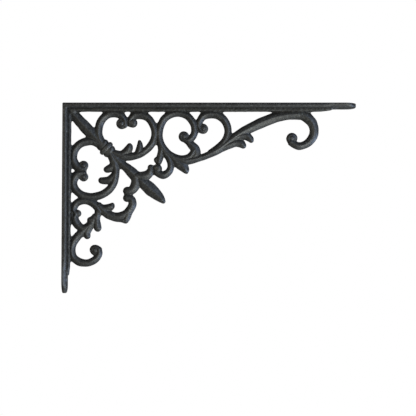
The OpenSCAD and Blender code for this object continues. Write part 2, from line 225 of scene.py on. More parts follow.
def ribField(piece, across, drop):
    # an uneven, half round bead along the flange: straight until "run", then it fades into the
    # flange on a large circle, and stops at the countersink
    along, out = (across, drop) if piece["onShelf"] else (drop, across)
    fade = piece["fadeRadius"]
    inside = np.where(
        along < piece["run"],
        ribFoot - out,
        fade - np.hypot(along - piece["run"], out - (ribFoot - fade)),
    )
    cut = piece["holeAt"] - tipSink / 2 - (out - flangeThickness) - along
    inside = np.minimum(inside, cut)
    bead = piece["beadRadius"]
    offCrest = np.abs(np.maximum(inside, 0) - ribHeight / 2)
    height = piece["thickness"] / 2 - roundedEdge(bead - offCrest, bead)
    height = height + piece["wave"] * castWave(across, drop, piece["waveLength"], ribSeed)
    return inside, height + outsideSlope * np.minimum(inside, 0)


def collarField(piece, across, drop):
    # turned beads on an axis at 45 degrees: their outline is r(a) - |c|, and their height is
    # "flatten" times sqrt(r(a)^2 - c^2), with a along the axis and c across it
    x, z = across - piece["centre"][0], drop - piece["centre"][1]
    a, c = (x + z) * math.sqrt(0.5), (x - z) * math.sqrt(0.5)
    radius = np.full(across.shape, farOut)
    for place, full in piece["beads"]:
        away = np.abs(a - place)
        bead = full - roundedEdge(piece["rim"] - away, piece["rim"])
        beyond = full - piece["rim"] - ballFall * (away - piece["rim"])
        radius = np.maximum(radius, np.where(away < piece["rim"], bead, beyond))
    inside = np.minimum(radius - np.abs(c), piece["halfLength"] - np.abs(a))
    solid = np.maximum(radius, 0)
    height = piece["flatten"] * np.sqrt(solid ** 2 - np.minimum(np.abs(c), solid) ** 2)
    return inside, np.maximum(height, beadLow) + np.minimum(inside, 0)


# In the pieces below a knot is (across, drop, width), a ball is (across, drop, radius), and a curl
# is (across, drop, radius, angle at which the bar enters, how far it turns), in mm and degrees. A
# bead of the collar is (place on its axis, radius). "fillet" is the reach of the cast fillet.
shelfRib = {  # rib under the shelf arm
    "node": "shelf_rib",
    "onShelf": True,
    "run": 259.8,
    "fadeRadius": 120.0,
    "thickness": 7.0,
    "beadRadius": 7.0,
    "holeAt": shelfHole,  # it stops at the countersink there
    "wave": 0.22,         # unevenness of its crest
    "waveLength": 7.0,
}
wallRib = {
    **shelfRib,
    "node": "wall_rib",
    "onShelf": False,
    "run": 158.8,
    "holeAt": wallHole,
    "beadRadius": 3.3,
}
collar = {  # three beads round the meeting point of the stems
    "node": "collar",
    "centre": (44.5, 46.4),
    "beads": [(-4.8, 6.5), (0, 8), (4.6, 6.8)],
    "rim": 2.7,           # half the length of a bead, and the radius that rounds it
    "halfLength": 8.0,
    "flatten": 0.62,      # thickness of the collar, as a share of its width
}
cornerSpear = {  # spear that grows out of the corner
    "node": "corner_spear",
    "depth": 7.6,
    "ridge": bladeRidge,
    "fillet": barFillet,
    "strokes": [
        [(6.7, 6.9, 4), (12, 12.6, 9.4), (22.6, 24.2, 11.6), (33.5, 35.5, 11.6), (42, 44, 9)],
    ],
    "balls": [(9, 7.4, 5)],
}
centreStem = {  # stem that goes on from the collar
    "node": "centre_stem",
    "depth": 7.4,
    "ridge": stemRidge,
    "fillet": barFillet,
    "strokes": [
        [
            (45, 47, 8), (54, 56.5, 9.4), (60.7, 62.8, 8.4), (66.5, 67.1, 9), (72.6, 73, 11.2),
            (77, 77.4, 9.6)
        ],
    ],
}
pendantSpear = {  # blade that hangs below the crossing
    "node": "pendant_spear",
    "depth": stemDepth,
    "ridge": bladeRidge,
    "fillet": barFillet,
    "strokes": [
        [
            (79.6, 79, 6), (84, 83, 11), (90, 88.4, 12.9), (96.3, 93.9, 11.2),
            (101.5, 98.7, 7.6), (104.2, 102, 3.8)
        ],
    ],
}
upperLeftScroll = {  # scroll right of the corner spear
    "node": "upper_left_scroll",
    "depth": barDepth,
    "fillet": barFillet,
    "strokes": [
        [
            (42, 44, 7), (37.3, 35.5, 7.4), (36.4, 26.5, 7.8), (39.2, 17.3, 7.8),
            (45.9, 11, 7.7), (54, 9.6, 8), (60.8, 12.8, 7.2), (64.2, 18.5, 5.4),
            (63.8, 23.5, 3.6)
        ],
    ],
    "curls": [(60.3, 20.4, 5.3, -40, 230)],
}
upperRightScroll = {  # large scroll that faces it
    "node": "upper_right_scroll",
    "depth": barDepth,
    "fillet": barFillet,
    "strokes": [
        [
            (69.2, 22.6, 3.6), (69, 17.5, 5.2), (73, 12.4, 7.6), (79.8, 11.2, 8.4),
            (87.9, 14.6, 7.3), (93.3, 22.4, 7), (95.2, 31.5, 7.2), (93, 39.8, 7.1),
            (87.4, 47, 6.9), (79.4, 52.5, 6.8), (70, 54.8, 7.6), (61, 54.2, 8.6),
            (51, 50.4, 6)
        ],
    ],
    "balls": [(72.1, 19.9, 4.4)],
}
upperLeaf = {  # two lobes inside the large upper scroll
    "node": "upper_leaf",
    "depth": leafDepth,
    "fillet": leafFillet,
    "strokes": [
        [(57, 54, 5), (62.5, 51.8, 7.4), (66.7, 48.6, 8.4), (68.6, 45.2, 6.8), (68.7, 43, 4)],
        [(76.8, 53, 6), (79, 48.5, 7.4), (79.6, 43, 5.6), (79, 38.6, 2.4)],
    ],
}
sideUpperScroll = {  # scroll below the corner spear
    "node": "side_upper_scroll",
    "depth": barDepth,
    "fillet": barFillet,
    "strokes": [
        [
            (42, 44, 8), (31.5, 39.4, 7.8), (24, 39.1, 8), (16.8, 42, 7.6), (11.7, 48.2, 7.5),
            (10.2, 56, 7.2), (12.2, 63, 8.6), (17, 67.4, 7.2), (22.5, 68.6, 3.6)
        ],
    ],
    "curls": [(20.9, 64.3, 4.7, 130, -230)],
}
sideLowerScroll = {  # large scroll under it
    "node": "side_lower_scroll",
    "depth": barDepth,
    "fillet": barFillet,
    "strokes": [
        [
            (22.5, 71.9, 3.6), (17.1, 72.6, 6.8), (12.4, 75.8, 8.2), (10.4, 82.6, 7.3),
            (13, 89.8, 7.5), (20.2, 95.3, 7.6), (30, 97, 7.6), (40, 94.7, 7.6),
            (48.6, 88.4, 7.4), (53.2, 80, 7.1), (54.8, 70.5, 6.8), (53.2, 61.5, 9.2),
            (48.8, 52, 6)
        ],
    ],
    "curls": [(21, 76.3, 4.4, -130, 230)],
}
sideLeaf = {  # two lobes inside the large side scroll
    "node": "side_leaf",
    "depth": leafDepth,
    "fillet": leafFillet,
    "strokes": [
        [(53.8, 60.5, 5), (51.8, 65, 8), (47.6, 67.6, 7.6), (44.6, 68.7, 5.8)],
        [
            (54, 71.5, 5), (51.6, 76.6, 8), (47.2, 79.6, 7.6), (42.4, 80.1, 6.8),
            (39.1, 79.9, 6)
        ],
    ],
}
crossArmRight = {  # arm from the crossing towards the shelf
    "node": "cross_arm_right",
    "depth": barDepth,
    "fillet": leafFillet,
    "strokes": [
        [(74, 75, 8), (82.2, 75.9, 10.2), (88, 73.6, 9), (90.8, 69.4, 7), (90.7, 65.7, 5.4)],
    ],
}
crossArmLeft = {  # arm from the crossing towards the wall
    "node": "cross_arm_left",
    "depth": barDepth,
    "fillet": leafFillet,
    "strokes": [
        [
            (75, 75, 8), (75.5, 82.4, 9.8), (72.8, 88.4, 8.8), (69, 91, 8.4),
            (66.2, 90.9, 8.4)
        ],
    ],
}
ringScroll = {  # nearly closed ring under the shelf rib
    "node": "ring_scroll",
    "depth": barDepth,
    "fillet": 3.6,
    "strokes": [
        [
            (137, 48, 6.4), (131, 55.7, 7), (121, 57.5, 7.4), (110.6, 53.4, 7.8),
            (102.7, 44.5, 7.5), (99.5, 34, 7.2), (100.6, 24, 7.2), (105, 15.4, 7.4),
            (112.8, 10.4, 7), (122, 9.8, 6.8), (130.5, 13.8, 6.9), (135.8, 21.5, 7),
            (136.4, 30, 6.8), (132.2, 36.7, 6.6), (127, 38.6, 5)
        ],
    ],
    "curls": [(125.4, 34, 5.2, 45, 230)],
}
longStem = {  # long stem that rises to the shelf rib
    "node": "long_stem",
    "depth": stemDepth,
    "ridge": stemRidge,
    "fillet": barFillet,
    "strokes": [
        [
            (119, 57.6, 5), (126, 59.4, 7), (132, 58.9, 7.4), (142, 56.5, 6.2), (150, 53.4, 6.4),
            (158, 49.5, 8), (166, 44.2, 8.4), (173, 38.9, 8), (181, 32.9, 8.6), (190, 27.4, 9.2),
            (200, 22.5, 10), (211, 17.6, 10.4), (222, 13.8, 9.6), (233, 11.8, 9), (245, 11, 8.4)
        ],
    ],
}
ringBud = {  # bud between the ring and the long stem
    "node": "ring_bud",
    "depth": leafDepth,
    "fillet": leafFillet,
    "strokes": [
        [(128, 38, 5), (133.7, 43.3, 8), (137.6, 47.6, 8.6), (138, 53, 8), (133, 58, 5)],
    ],
}
dropLeaf = {  # leaf that points down from the ring
    "node": "drop_leaf",
    "depth": leafDepth,
    "fillet": leafFillet,
    "strokes": [
        [
            (111, 54, 7), (117.6, 60, 10), (123.2, 64, 10.8), (126.8, 68.2, 7.6),
            (128.3, 71.4, 3)
        ],
    ],
}
dropLoop = {  # small loop that hangs from the ring
    "node": "drop_loop",
    "depth": barDepth,
    "fillet": barFillet,
    "strokes": [
        [(102.6, 46, 7.4), (101.3, 52, 6.8), (100.2, 57, 6.8), (99, 61.4, 5.6)],
        [
            (104.2, 49, 7.6), (109.6, 56.4, 6.6), (111.8, 64, 6.5), (109.6, 70.7, 6.9),
            (103.6, 74.3, 7.6), (95.6, 70.8, 6.6)
        ],
    ],
    "balls": [(97.9, 67.4, 4.4), (97.2, 58.6, 2.9)],
}
rightScroll = {  # scroll on the right of the ring
    "node": "right_scroll",
    "depth": barDepth,
    "fillet": barFillet,
    "strokes": [
        [
            (144, 29, 3.2), (140.8, 24.5, 5), (141.5, 18.8, 6.4), (145.5, 12.8, 7.4),
            (152.5, 10.6, 8.2), (160, 11.3, 8.2), (167, 16.3, 7.6), (171, 24.5, 7.2),
            (170.9, 32.5, 7.1), (167.2, 39.6, 6.8), (160.5, 46.3, 6.4), (153, 50.8, 5)
        ],
    ],
    "curls": [(145.4, 25.8, 5, -155, -230)],
}
stemLeaf = {  # two lobes under the long stem
    "node": "stem_leaf",
    "depth": barDepth,
    "fillet": leafFillet,
    "strokes": [
        [(166, 46, 6), (172.5, 43, 7.4), (179, 40.6, 8), (184.4, 41.2, 8), (187.8, 44, 5.4)],
        [(176, 38.4, 5), (183, 34.2, 7.2), (189.5, 33.2, 8), (194, 35.8, 7), (195.6, 38.2, 4.6)],
    ],
}
shelfHookScroll = {  # open hook at the end of the long stem
    "node": "shelf_hook_scroll",
    "depth": barDepth,
    "fillet": barFillet,
    "strokes": [
        [
            (238, 10.4, 8), (249.4, 11.6, 10.2), (257.2, 17.2, 10.2), (260.8, 24.5, 9.1),
            (260.6, 32, 8.8), (256.8, 38.6, 8.2), (250.5, 42.9, 7.5), (243.5, 43.6, 7.6),
            (236.5, 39.6, 6.8)
        ],
    ],
    "curls": [(237.9, 35.9, 5.5, 90, 230)],
}
lowerRing = {  # small ring beside the wall rib
    "node": "lower_ring",
    "depth": barDepth,
    "fillet": barFillet,
    "strokes": [
        [
            (38.5, 113, 7), (34.3, 106.6, 7.6), (28, 101.9, 7.6), (21.2, 100.7, 7.6),
            (14.6, 103, 7), (11.2, 108, 6.6), (11.4, 112, 5.6), (13.6, 114.2, 5)
        ],
        [
            (14, 114.6, 5), (12.3, 118, 6.8), (12.8, 122, 7.8), (15.6, 126.4, 8),
            (20.5, 129.4, 7), (26, 128, 6.6), (30.2, 124.8, 6)
        ],
        [(9.4, 108, 2.4), (9.2, 114.5, 2.4), (9.3, 121, 2.2)],
    ],
    "balls": [(15.2, 114.2, 3.4)],
}
bigLoop = {  # open loop under the side scroll
    "node": "big_loop",
    "depth": barDepth,
    "fillet": barFillet,
    "strokes": [
        [
            (65.8, 98.1, 7.8), (68.8, 98.4, 7.6), (71.6, 101, 7.8), (71.9, 105.2, 7.9),
            (69.4, 110.2, 8), (64.6, 114.9, 8), (57.3, 118, 9.1), (49.6, 116.6, 8.6),
            (42.4, 112, 8.4), (36.6, 105.4, 6.4)
        ],
    ],
}
loopLeaf = {  # lobe inside the open loop
    "node": "loop_leaf",
    "depth": leafDepth,
    "fillet": leafFillet,
    "strokes": [
        [(40, 108.5, 6), (45, 109, 8), (49.4, 107.2, 6.8), (51.3, 104.8, 3.4)],
    ],
}
loopSpear = {  # point on the outside of the open loop
    "node": "loop_spear",
    "depth": leafDepth,
    "fillet": leafFillet,
    "strokes": [
        [(68.5, 112, 6.4), (66.8, 117, 7), (65.2, 120.6, 6.4), (64.9, 122.3, 4.8)],
        [(56, 119, 6), (60.6, 120.4, 5.6), (63.8, 121.8, 4.6)],
    ],
}
lowerLeaf = {  # three lobes that grow out of the small ring
    "node": "lower_leaf",
    "depth": leafDepth,
    "fillet": leafFillet,
    "strokes": [
        [(37.2, 110, 7), (35, 119, 6.6), (35.2, 125.6, 7.6), (36, 129.8, 7.4)],
        [(34, 117, 7), (28.6, 126, 8), (24.7, 133.5, 7.6), (25.3, 138.4, 6.2)],
        [(34, 119.5, 7), (30.4, 120.6, 6.4), (27.6, 121.2, 5.6)],
    ],
}
wallHookScroll = {  # open hook at the foot of the wall rib
    "node": "wall_hook_scroll",
    "depth": barDepth,
    "fillet": barFillet,
    "strokes": [
        [
            (28.5, 125.5, 6.4), (21.2, 132.5, 7.6), (14.6, 138.6, 7.8), (10.4, 145.8, 7.2),
            (9.2, 153, 7.2), (11.3, 160.2, 7.5), (18, 164.9, 7.6), (26, 165.5, 7),
            (33.2, 162.3, 7), (37.6, 156.4, 6.2), (37.6, 150.7, 5)
        ],
    ],
    "curls": [(33.4, 152.3, 5.3, 20, -230)],
}
scrollwork = [  # the two ribs come first, then the collar, which panelSurface counts on
    shelfRib, wallRib, collar,
    cornerSpear, centreStem, pendantSpear, upperLeftScroll, upperRightScroll, upperLeaf,
    sideUpperScroll, sideLowerScroll, sideLeaf, crossArmRight, crossArmLeft, ringScroll,
    longStem, ringBud, dropLeaf, dropLoop, rightScroll, stemLeaf, shelfHookScroll,
    lowerRing, bigLoop, loopLeaf, loopSpear, lowerLeaf, wallHookScroll,
]


def panelFields(across, drop):
    # for every piece of the scrollwork, how far each point lies inside it and how high it is there
    inside = np.full((len(scrollwork), across.size), farOut)
    height = np.full(inside.shape, farOut)
    for row, piece in enumerate(scrollwork):
        if "onShelf" in piece:
            inside[row], height[row] = ribField(piece, across, drop)
        elif "beads" in piece:
            inside[row], height[row] = collarField(piece, across, drop)
        else:
            inside[row], height[row] = scrollField(piece, across, drop)
    return inside, height


def panelSurface(across, drop):
    # the pieces run together as in one casting: outlines and ridges merge with smoothMax, and the
    # panel ends at the two flanges. Returns each piece's field, the outline and both faces.
    inside, height = panelFields(across, drop)
    collarRow = scrollwork.index(collar)
    outline, relief = inside[collarRow], height[collarRow]
    for row in range(collarRow + 1, len(scrollwork)):
        outline = smoothMax(outline, inside[row], scrollwork[row]["fillet"])
        relief = smoothMax(relief, height[row], casting["valley"])
    ribs = smoothMax(inside[0], inside[1], ribFillet)
    outline = smoothMax(outline, ribs, ribFillet)
    relief = smoothMax(relief, np.maximum(height[0], height[1]), casting["valley"])
    outline = outline + casting["outlineGrowth"]
    length = casting["waveLength"]
    outline = outline + casting["outlineWave"] * castWave(across, drop, length, outlineSeed)
    outline = np.minimum(outline, np.minimum(drop, across) - flangeThickness)
    rise = casting["rimSlope"] * np.clip(outline, 0, casting["rimReach"])
    relief = smoothMax(relief, casting["rimHeight"] + rise, casting["valley"])
    front = relief + casting["faceWave"] * castWave(across, drop, length, frontSeed)
    back = relief + casting["faceWave"] * castWave(across, drop, length, backSeed)
    return inside, outline, front, back


def flangeSurface(piece, along, width):
    # plan of an arm: straight sides and a round tip, less its holes. The inner face is the
    # thickness plus the unevenness, less a bevel at 45 degrees on the long edges near the tip, a
    # quarter round at the edges and a cone at each hole; the outer face is flat but for its edges.
    half, length = piece["width"] / 2, piece["length"]
    toTip = np.maximum(along - (length - half), 0)
    side = half - np.hypot(toTip, width)
    uneven = (1 + castWave(along, width, piece["waveLength"], piece["seed"])) / 2
    inner = piece["thickness"] + piece["wave"] * uneven
    if piece["start"]:
        inner = inner + roundedEdge(along - piece["start"], piece["cornerFillet"])
    growth = np.clip((along - length + piece["bevelReach"]) / piece["bevelFade"], 0, 1)
    inner = inner - np.maximum(growth * piece["bevel"] - (half - np.abs(width)), 0)
    inner = inner - roundedEdge(side, piece["edgeRadius"])
    outer = roundedEdge(side, piece["outerRadius"])
    if not piece["start"]:
        outer = np.maximum(outer, roundedEdge(along, piece["cornerRadius"]))
    outline = np.minimum(side, along - piece["start"])
    for at, offset, bore, sink in [piece["tipHole"], *piece["holePair"]]:
        away = np.hypot(along - at, width - offset)
        outline = np.minimum(outline, away - bore / 2)
        inner = np.minimum(inner, piece["thickness"] - sink / 2 + np.maximum(away, bore / 2))
    return outline[None], outline, inner, -outer


meshing = {  # how the grid of cells is fitted to the outlines
    "pinchRounds": 20,    # at most
    "speckRounds": 3,
    "fitRounds": 4,       # smoothing and sliding of the points on an outline or a joint
    "evenRounds": 2,      # smoothing of the points between them, in each of those rounds
    "lastSlides": 2,
    "onLine": 1e-6,       # a point as near to the outline as this is on it
    "probe": 0.02,        # length over which a slope is measured
    "leastSteep": 0.05,   # least square of a slope, so that no point is thrown far off
}


def cellOwners(inside, outline):
    # a cell belongs to the first piece that covers its middle, else to the nearest one
    covers = inside > 0
    first = np.where(covers.any(axis=0), covers.argmax(axis=0), inside.argmax(axis=0))
    return np.where(outline > 0, first, -1)


def withoutPinches(owner):
    # no two cells of a piece may meet at a corner alone, so one of the other two joins them
    for _ in range(meshing["pinchRounds"]):
        a, b = owner[:-1, :-1], owner[:-1, 1:]
        c, d = owner[1:, :-1], owner[1:, 1:]
        falling = (a == d) & (b != a) & (c != a) & (a >= 0)
        rising = (b == c) & (a != b) & (d != b) & (b >= 0) & ~falling
        if not (falling.any() or rising.any()):
            break
        mended = owner.copy()
        mended[:-1, 1:][falling] = a[falling]
        mended[1:, 1:][rising] = b[rising]
        owner = mended
    return owner


def withoutSpecks(owner):
    # a cell with at most one neighbour of its own piece goes over to the piece around it
    for _ in range(meshing["speckRounds"]):
        wide = np.pad(owner, 1, constant_values=-1)
        sides = np.stack([wide[:-2, 1:-1], wide[2:, 1:-1], wide[1:-1, :-2], wide[1:-1, 2:]])
        lonely = (owner >= 0) & ((sides == owner).sum(axis=0) <= 1)
        same = (sides[:, None] == sides[None]).sum(axis=1)
        common = np.take_along_axis(sides, same.argmax(axis=0)[None], 0)[0]
        swap = lonely & (same.max(axis=0) >= 2) & (common != owner) & (common >= 0)
        owner = np.where(swap, common, owner)
    return owner


def alongLine(points, acrossEdge, downEdge):
    # middle of the neighbours that each point has along a marked line of the grid
    total, count = np.zeros(points.shape), np.zeros(points.shape[:2])
    total[:, :-1] += acrossEdge[..., None] * points[:, 1:]
    total[:, 1:] += acrossEdge[..., None] * points[:, :-1]
    count[:, :-1] += acrossEdge
    count[:, 1:] += acrossEdge
    total[:-1] += downEdge[..., None] * points[1:]
    total[1:] += downEdge[..., None] * points[:-1]
    count[:-1] += downEdge
    count[1:] += downEdge
    return np.where(count[..., None] > 1, total / np.maximum(count, 1)[..., None], points)


def slideOnto(points, level, limit):
    # one Newton step that brings the points onto the line where level is zero: each moves by
    # -level * slope / slope^2, and by no more than the limit
    probe = meshing["probe"]
    here = level(points[:, 0], points[:, 1])
    slopeU = (level(points[:, 0] + probe, points[:, 1]) - here) / probe
    slopeV = (level(points[:, 0], points[:, 1] + probe) - here) / probe
    steep = np.maximum(slopeU ** 2 + slopeV ** 2, meshing["leastSteep"])
    move = np.stack([-here * slopeU / steep, -here * slopeV / steep], axis=1)
    size = np.maximum(np.linalg.norm(move, axis=1, keepdims=True), meshing["onLine"])
    return points + move * np.minimum(1, limit / size)


def reliefGrid(us, vs, surface):
    # covers a plan with grid cells, gives each to a piece, and slides the grid points on the
    # outline (rim) and on the joints between the pieces (seam) onto the true lines
    midU, midV = np.meshgrid((us[1:] + us[:-1]) / 2, (vs[1:] + vs[:-1]) / 2)
    inside, outline, _, _ = surface(midU.ravel(), midV.ravel())
    owner = cellOwners(inside, outline).reshape(midU.shape)
    owner = withoutPinches(withoutSpecks(owner))
    wide = np.pad(owner, 1, constant_values=-1)
    corners = np.stack([wide[:-1, :-1], wide[:-1, 1:], wide[1:, :-1], wide[1:, 1:]])
    used = (corners >= 0).any(axis=0)
    rim = used & (corners < 0).any(axis=0)
    low, high = corners.min(axis=0), corners.max(axis=0)
    seam = used & ~rim & (low != high)
    above, below = wide[:-1, 1:-1], wide[1:, 1:-1]
    left, right = wide[1:-1, :-1], wide[1:-1, 1:]
    rimAcross, rimDown = (above < 0) != (below < 0), (left < 0) != (right < 0)
    seamAcross = (above != below) & (above >= 0) & (below >= 0)
    seamDown = (left != right) & (left >= 0) & (right >= 0)
    points = np.stack(np.meshgrid(us, vs), axis=-1)
    onLine = np.zeros(used.shape, bool)
    onLine[rim] = np.abs(surface(*points[rim].T)[1]) < meshing["onLine"]
    slides = rim & ~onLine
    step = float(np.median(np.diff(us)))
    lowRow, highRow = low[seam], high[seam]
    picks = np.arange(lowRow.size)

    def jointLevel(u, v):
        field = surface(u, v)[0]
        return field[lowRow, picks] - np.minimum(field[highRow, picks], 0)

    for _ in range(meshing["fitRounds"]):
        middle = alongLine(points, rimAcross, rimDown)
        points[slides] = (points[slides] + middle[slides]) / 2
        points[slides] = slideOnto(points[slides], lambda u, v: surface(u, v)[1], step / 2)
        if seam.any():
            middle = alongLine(points, seamAcross, seamDown)
            points[seam] = (points[seam] + middle[seam]) / 2
            points[seam] = slideOnto(points[seam], jointLevel, step / 2)
        free = used & ~rim & ~seam
        for _ in range(meshing["evenRounds"]):
            ring = np.pad(points, ((1, 1), (1, 1), (0, 0)), mode="edge")
            middle = (ring[:-2, 1:-1] + ring[2:, 1:-1] + ring[1:-1, :-2] + ring[1:-1, 2:]) / 4
            points[free] = middle[free]
    for _ in range(meshing["lastSlides"]):
        points[slides] = slideOnto(points[slides], lambda u, v: surface(u, v)[1], step / 2)
    return points, owner, used


def reliefPiece(name, cells, points, front, back, toSpace):
    # closed mesh of one piece: its cells in front and behind, and a wall round them. Faces run
    # anticlockwise seen from outside.
    rows, cols = cells.shape
    ids = np.arange((rows + 1) * (cols + 1)).reshape(rows + 1, cols + 1)
    a, b, c, d = ids[:-1, :-1], ids[1:, :-1], ids[1:, 1:], ids[:-1, 1:]
    cornersOf = np.stack([a, b, c, d], axis=-1)[cells]
    behind = ids.size
    wide = np.pad(cells, 1)
    walls = []
    above, below = wide[:-2, 1:-1], wide[2:, 1:-1]
    left, right = wide[1:-1, :-2], wide[1:-1, 2:]
    for beside, first, last in ((above, a, d), (below, c, b), (left, b, a), (right, d, c)):
        edge = cells & ~beside
        p, q = first[edge], last[edge]
        walls.append(np.stack([p, q, q + behind, p + behind], axis=-1))
    faces = np.concatenate([cornersOf, cornersOf[:, ::-1] + behind] + walls)
    kept, faces = np.unique(faces, return_inverse=True)
    faces = faces.reshape(-1, 4)
    isBack = kept >= behind
    at = np.where(isBack, kept - behind, kept)
    uv = points.reshape(-1, 2)[at]
    depth = np.where(isBack, back.ravel()[at], -front.ravel()[at])
    places = toSpace(uv[:, 0], uv[:, 1], depth) / 1000  # metres
    mesh = bpy.data.meshes.new(name)
    mesh.vertices.add(len(places))
    mesh.vertices.foreach_set("co", places.astype(np.float32).ravel())
    mesh.loops.add(faces.size)
    mesh.loops.foreach_set("vertex_index", faces.astype(np.int32).ravel())
    mesh.polygons.add(len(faces))
    mesh.polygons.foreach_set("loop_start", np.arange(0, faces.size, 4, dtype=np.int32))
    mesh.polygons.foreach_set("use_smooth", np.ones(len(faces), bool))
    mesh.update(calc_edges=True)
    mesh.validate()
    mesh.set_sharp_from_angle(angle=math.radians(casting["sharpAngle"]))
    # the material reads how far each point stands out, from 0 to 1
    raised = mesh.attributes.new("relief", "FLOAT", "POINT")
    height = np.minimum(2 * np.abs(depth) / stemDepth, 1)
    raised.data.foreach_set("value", height.astype(np.float32))
    piece = bpy.data.objects.new(name, mesh)
    bpy.context.scene.collection.objects.link(piece)
    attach(piece, "root")
    mesh.materials.append(sandCastIron)
    return piece


def surfaceAt(points, used, surface):
    # heights of both faces at the grid's used points
    front, back = np.zeros(used.shape), np.zeros(used.shape)
    _, _, front[used], back[used] = surface(*points[used].T)
    return front, back


def linear(hexColour):
    # sRGB hex to linear light: ((c + 0.055) / 1.055)^2.4, and c / 12.92 for the darkest values
    v = np.array([int(hexColour[i:i + 2], 16) / 255 for i in (1, 3, 5)])
    light = np.where(v <= 0.04045, v / 12.92, ((v + 0.055) / 1.055) ** 2.4)
    return (*light.tolist(), 1.0)


def addNode(tree, kind, settings=None, **inputs):
    # adds a node, sets its settings, and sets or links its inputs: a socket's name has _ for its
    # spaces, or it is n and the socket's number
    made = tree.nodes.new(kind)
    for key, value in (settings or {}).items():
        setattr(made, key, value)
    for key, value in inputs.items():
        numbered = key[0] == "n" and key[1:].isdigit()
        socket = made.inputs[int(key[1:]) if numbered else key.replace("_", " ")]
        if isinstance(value, bpy.types.NodeSocket):
            tree.links.new(value, socket)
        else:
            socket.default_value = value
    return made


# Sand-cast grey iron with a thin matt black coat: the sand leaves a grain of 0.5 to 1 mm, drawn
# at about 2 mm so that it shows. The coat is paler on the crests, where hands rub it, and small
# specks of bare iron show through there.
ironLook = {
    "dark": "#191817",
    "mid": "#323130",
    "worn": "#444341",
    "bare": "#606361",
    "roughness": (0.36, 0.54),
    "grain": 0.0017,           # sizes of the patterns in metres
    "grainDepth": 0.00015,
    "blotch": 0.007,
    "specks": 0.002,
    "speckle": 1.2,            # how much the grain breaks up the worn crests
    "patches": (0.3, 0.7),     # noise values between which each effect rises from none to full
    "wear": (1.1, 1.9),
    "bareness": (0.55, 0.67),
    "gloss": (0.3, 0.7),
    "mostBare": 0.6,           # share of bare iron in the middle of a speck
}
sandCastIron = bpy.data.materials.new("sandCastIronMattBlack")
sandCastIron.use_nodes = True
tree = sandCastIron.node_tree
tree.nodes.clear()
inPiece = addNode(tree, "ShaderNodeTexCoord").outputs["Object"]
reliefShare = addNode(tree, "ShaderNodeAttribute", {"attribute_name": "relief"}).outputs["Fac"]
grain = addNode(
    tree, "ShaderNodeTexNoise",
    Vector=inPiece, Scale=1 / ironLook["grain"], Detail=4.0, Roughness=0.6,
)
blotch = addNode(
    tree, "ShaderNodeTexNoise",
    Vector=inPiece, Scale=1 / ironLook["blotch"], Detail=3.0, Roughness=0.6,
)
patchy = addNode(tree, "ShaderNodeValToRGB", Fac=blotch.outputs["Fac"])
patchy.color_ramp.elements[0].position = ironLook["patches"][0]
patchy.color_ramp.elements[0].color = linear(ironLook["dark"])
patchy.color_ramp.elements[1].position = ironLook["patches"][1]
patchy.color_ramp.elements[1].color = linear(ironLook["mid"])
speckled = addNode(
    tree, "ShaderNodeMath", {"operation": "MULTIPLY_ADD"},
    n0=grain.outputs["Fac"], n1=ironLook["speckle"], n2=reliefShare,
)
wear = addNode(
    tree, "ShaderNodeMapRange", Value=speckled.outputs["Value"],
    From_Min=ironLook["wear"][0], From_Max=ironLook["wear"][1], To_Min=0.0, To_Max=1.0,
)
rubbed = addNode(
    tree, "ShaderNodeMix", {"data_type": "RGBA"},
    n0=wear.outputs["Result"], n6=patchy.outputs["Color"], n7=linear(ironLook["worn"]),
)
specks = addNode(
    tree, "ShaderNodeTexNoise",
    Vector=inPiece, Scale=1 / ironLook["specks"], Detail=2.0, Roughness=0.5,
)
bare = addNode(
    tree, "ShaderNodeMapRange", Value=specks.outputs["Fac"], From_Min=ironLook["bareness"][0],
    From_Max=ironLook["bareness"][1], To_Min=0.0, To_Max=ironLook["mostBare"],
)
bareOnTop = addNode(
    tree, "ShaderNodeMath", {"operation": "MULTIPLY"},
    n0=bare.outputs["Result"], n1=reliefShare,
)
coat = addNode(
    tree, "ShaderNodeMix", {"data_type": "RGBA"},
    n0=bareOnTop.outputs["Value"], n6=rubbed.outputs[2], n7=linear(ironLook["bare"]),
)
rough = addNode(
    tree, "ShaderNodeMapRange", Value=grain.outputs["Fac"],
    From_Min=ironLook["gloss"][0], From_Max=ironLook["gloss"][1],
    To_Min=ironLook["roughness"][0], To_Max=ironLook["roughness"][1],
)
bump = addNode(
    tree, "ShaderNodeBump",
    Height=grain.outputs["Fac"], Distance=ironLook["grainDepth"], Strength=1.0,
)
shader = addNode(
    tree, "ShaderNodeBsdfPrincipled", Base_Color=coat.outputs[2],
    Roughness=rough.outputs["Result"], Normal=bump.outputs["Normal"],
)
addNode(tree, "ShaderNodeOutputMaterial", Surface=shader.outputs["BSDF"])
print("material made")

step = casting["gridStep"]
us = np.arange(flangeThickness, shelfRib["holeAt"], step)
vs = np.arange(flangeThickness, wallRib["holeAt"], step)
points, owner, used = reliefGrid(us, vs, panelSurface)
front, back = surfaceAt(points, used, panelSurface)
print("scrollwork worked out,", int((owner >= 0).sum()), "cells")
for row, piece in enumerate(scrollwork):
    made = reliefPiece(
        piece["node"] + "_cast", owner == row, points, front, back,
        lambda u, v, depth: np.stack([u, depth, -v], axis=1),
    )
    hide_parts(piece["node"])
print("scrollwork made,", len(scrollwork), "pieces")


def lineUp(*stretches):
    # grid lines from stretches of (start, end, spacing)
    lines = []
    for start, end, spacing in stretches:
        count = max(1, round((end - start) / spacing))
        lines.append(np.linspace(start, end, count, endpoint=False))
    return np.concatenate(lines + [[end]])


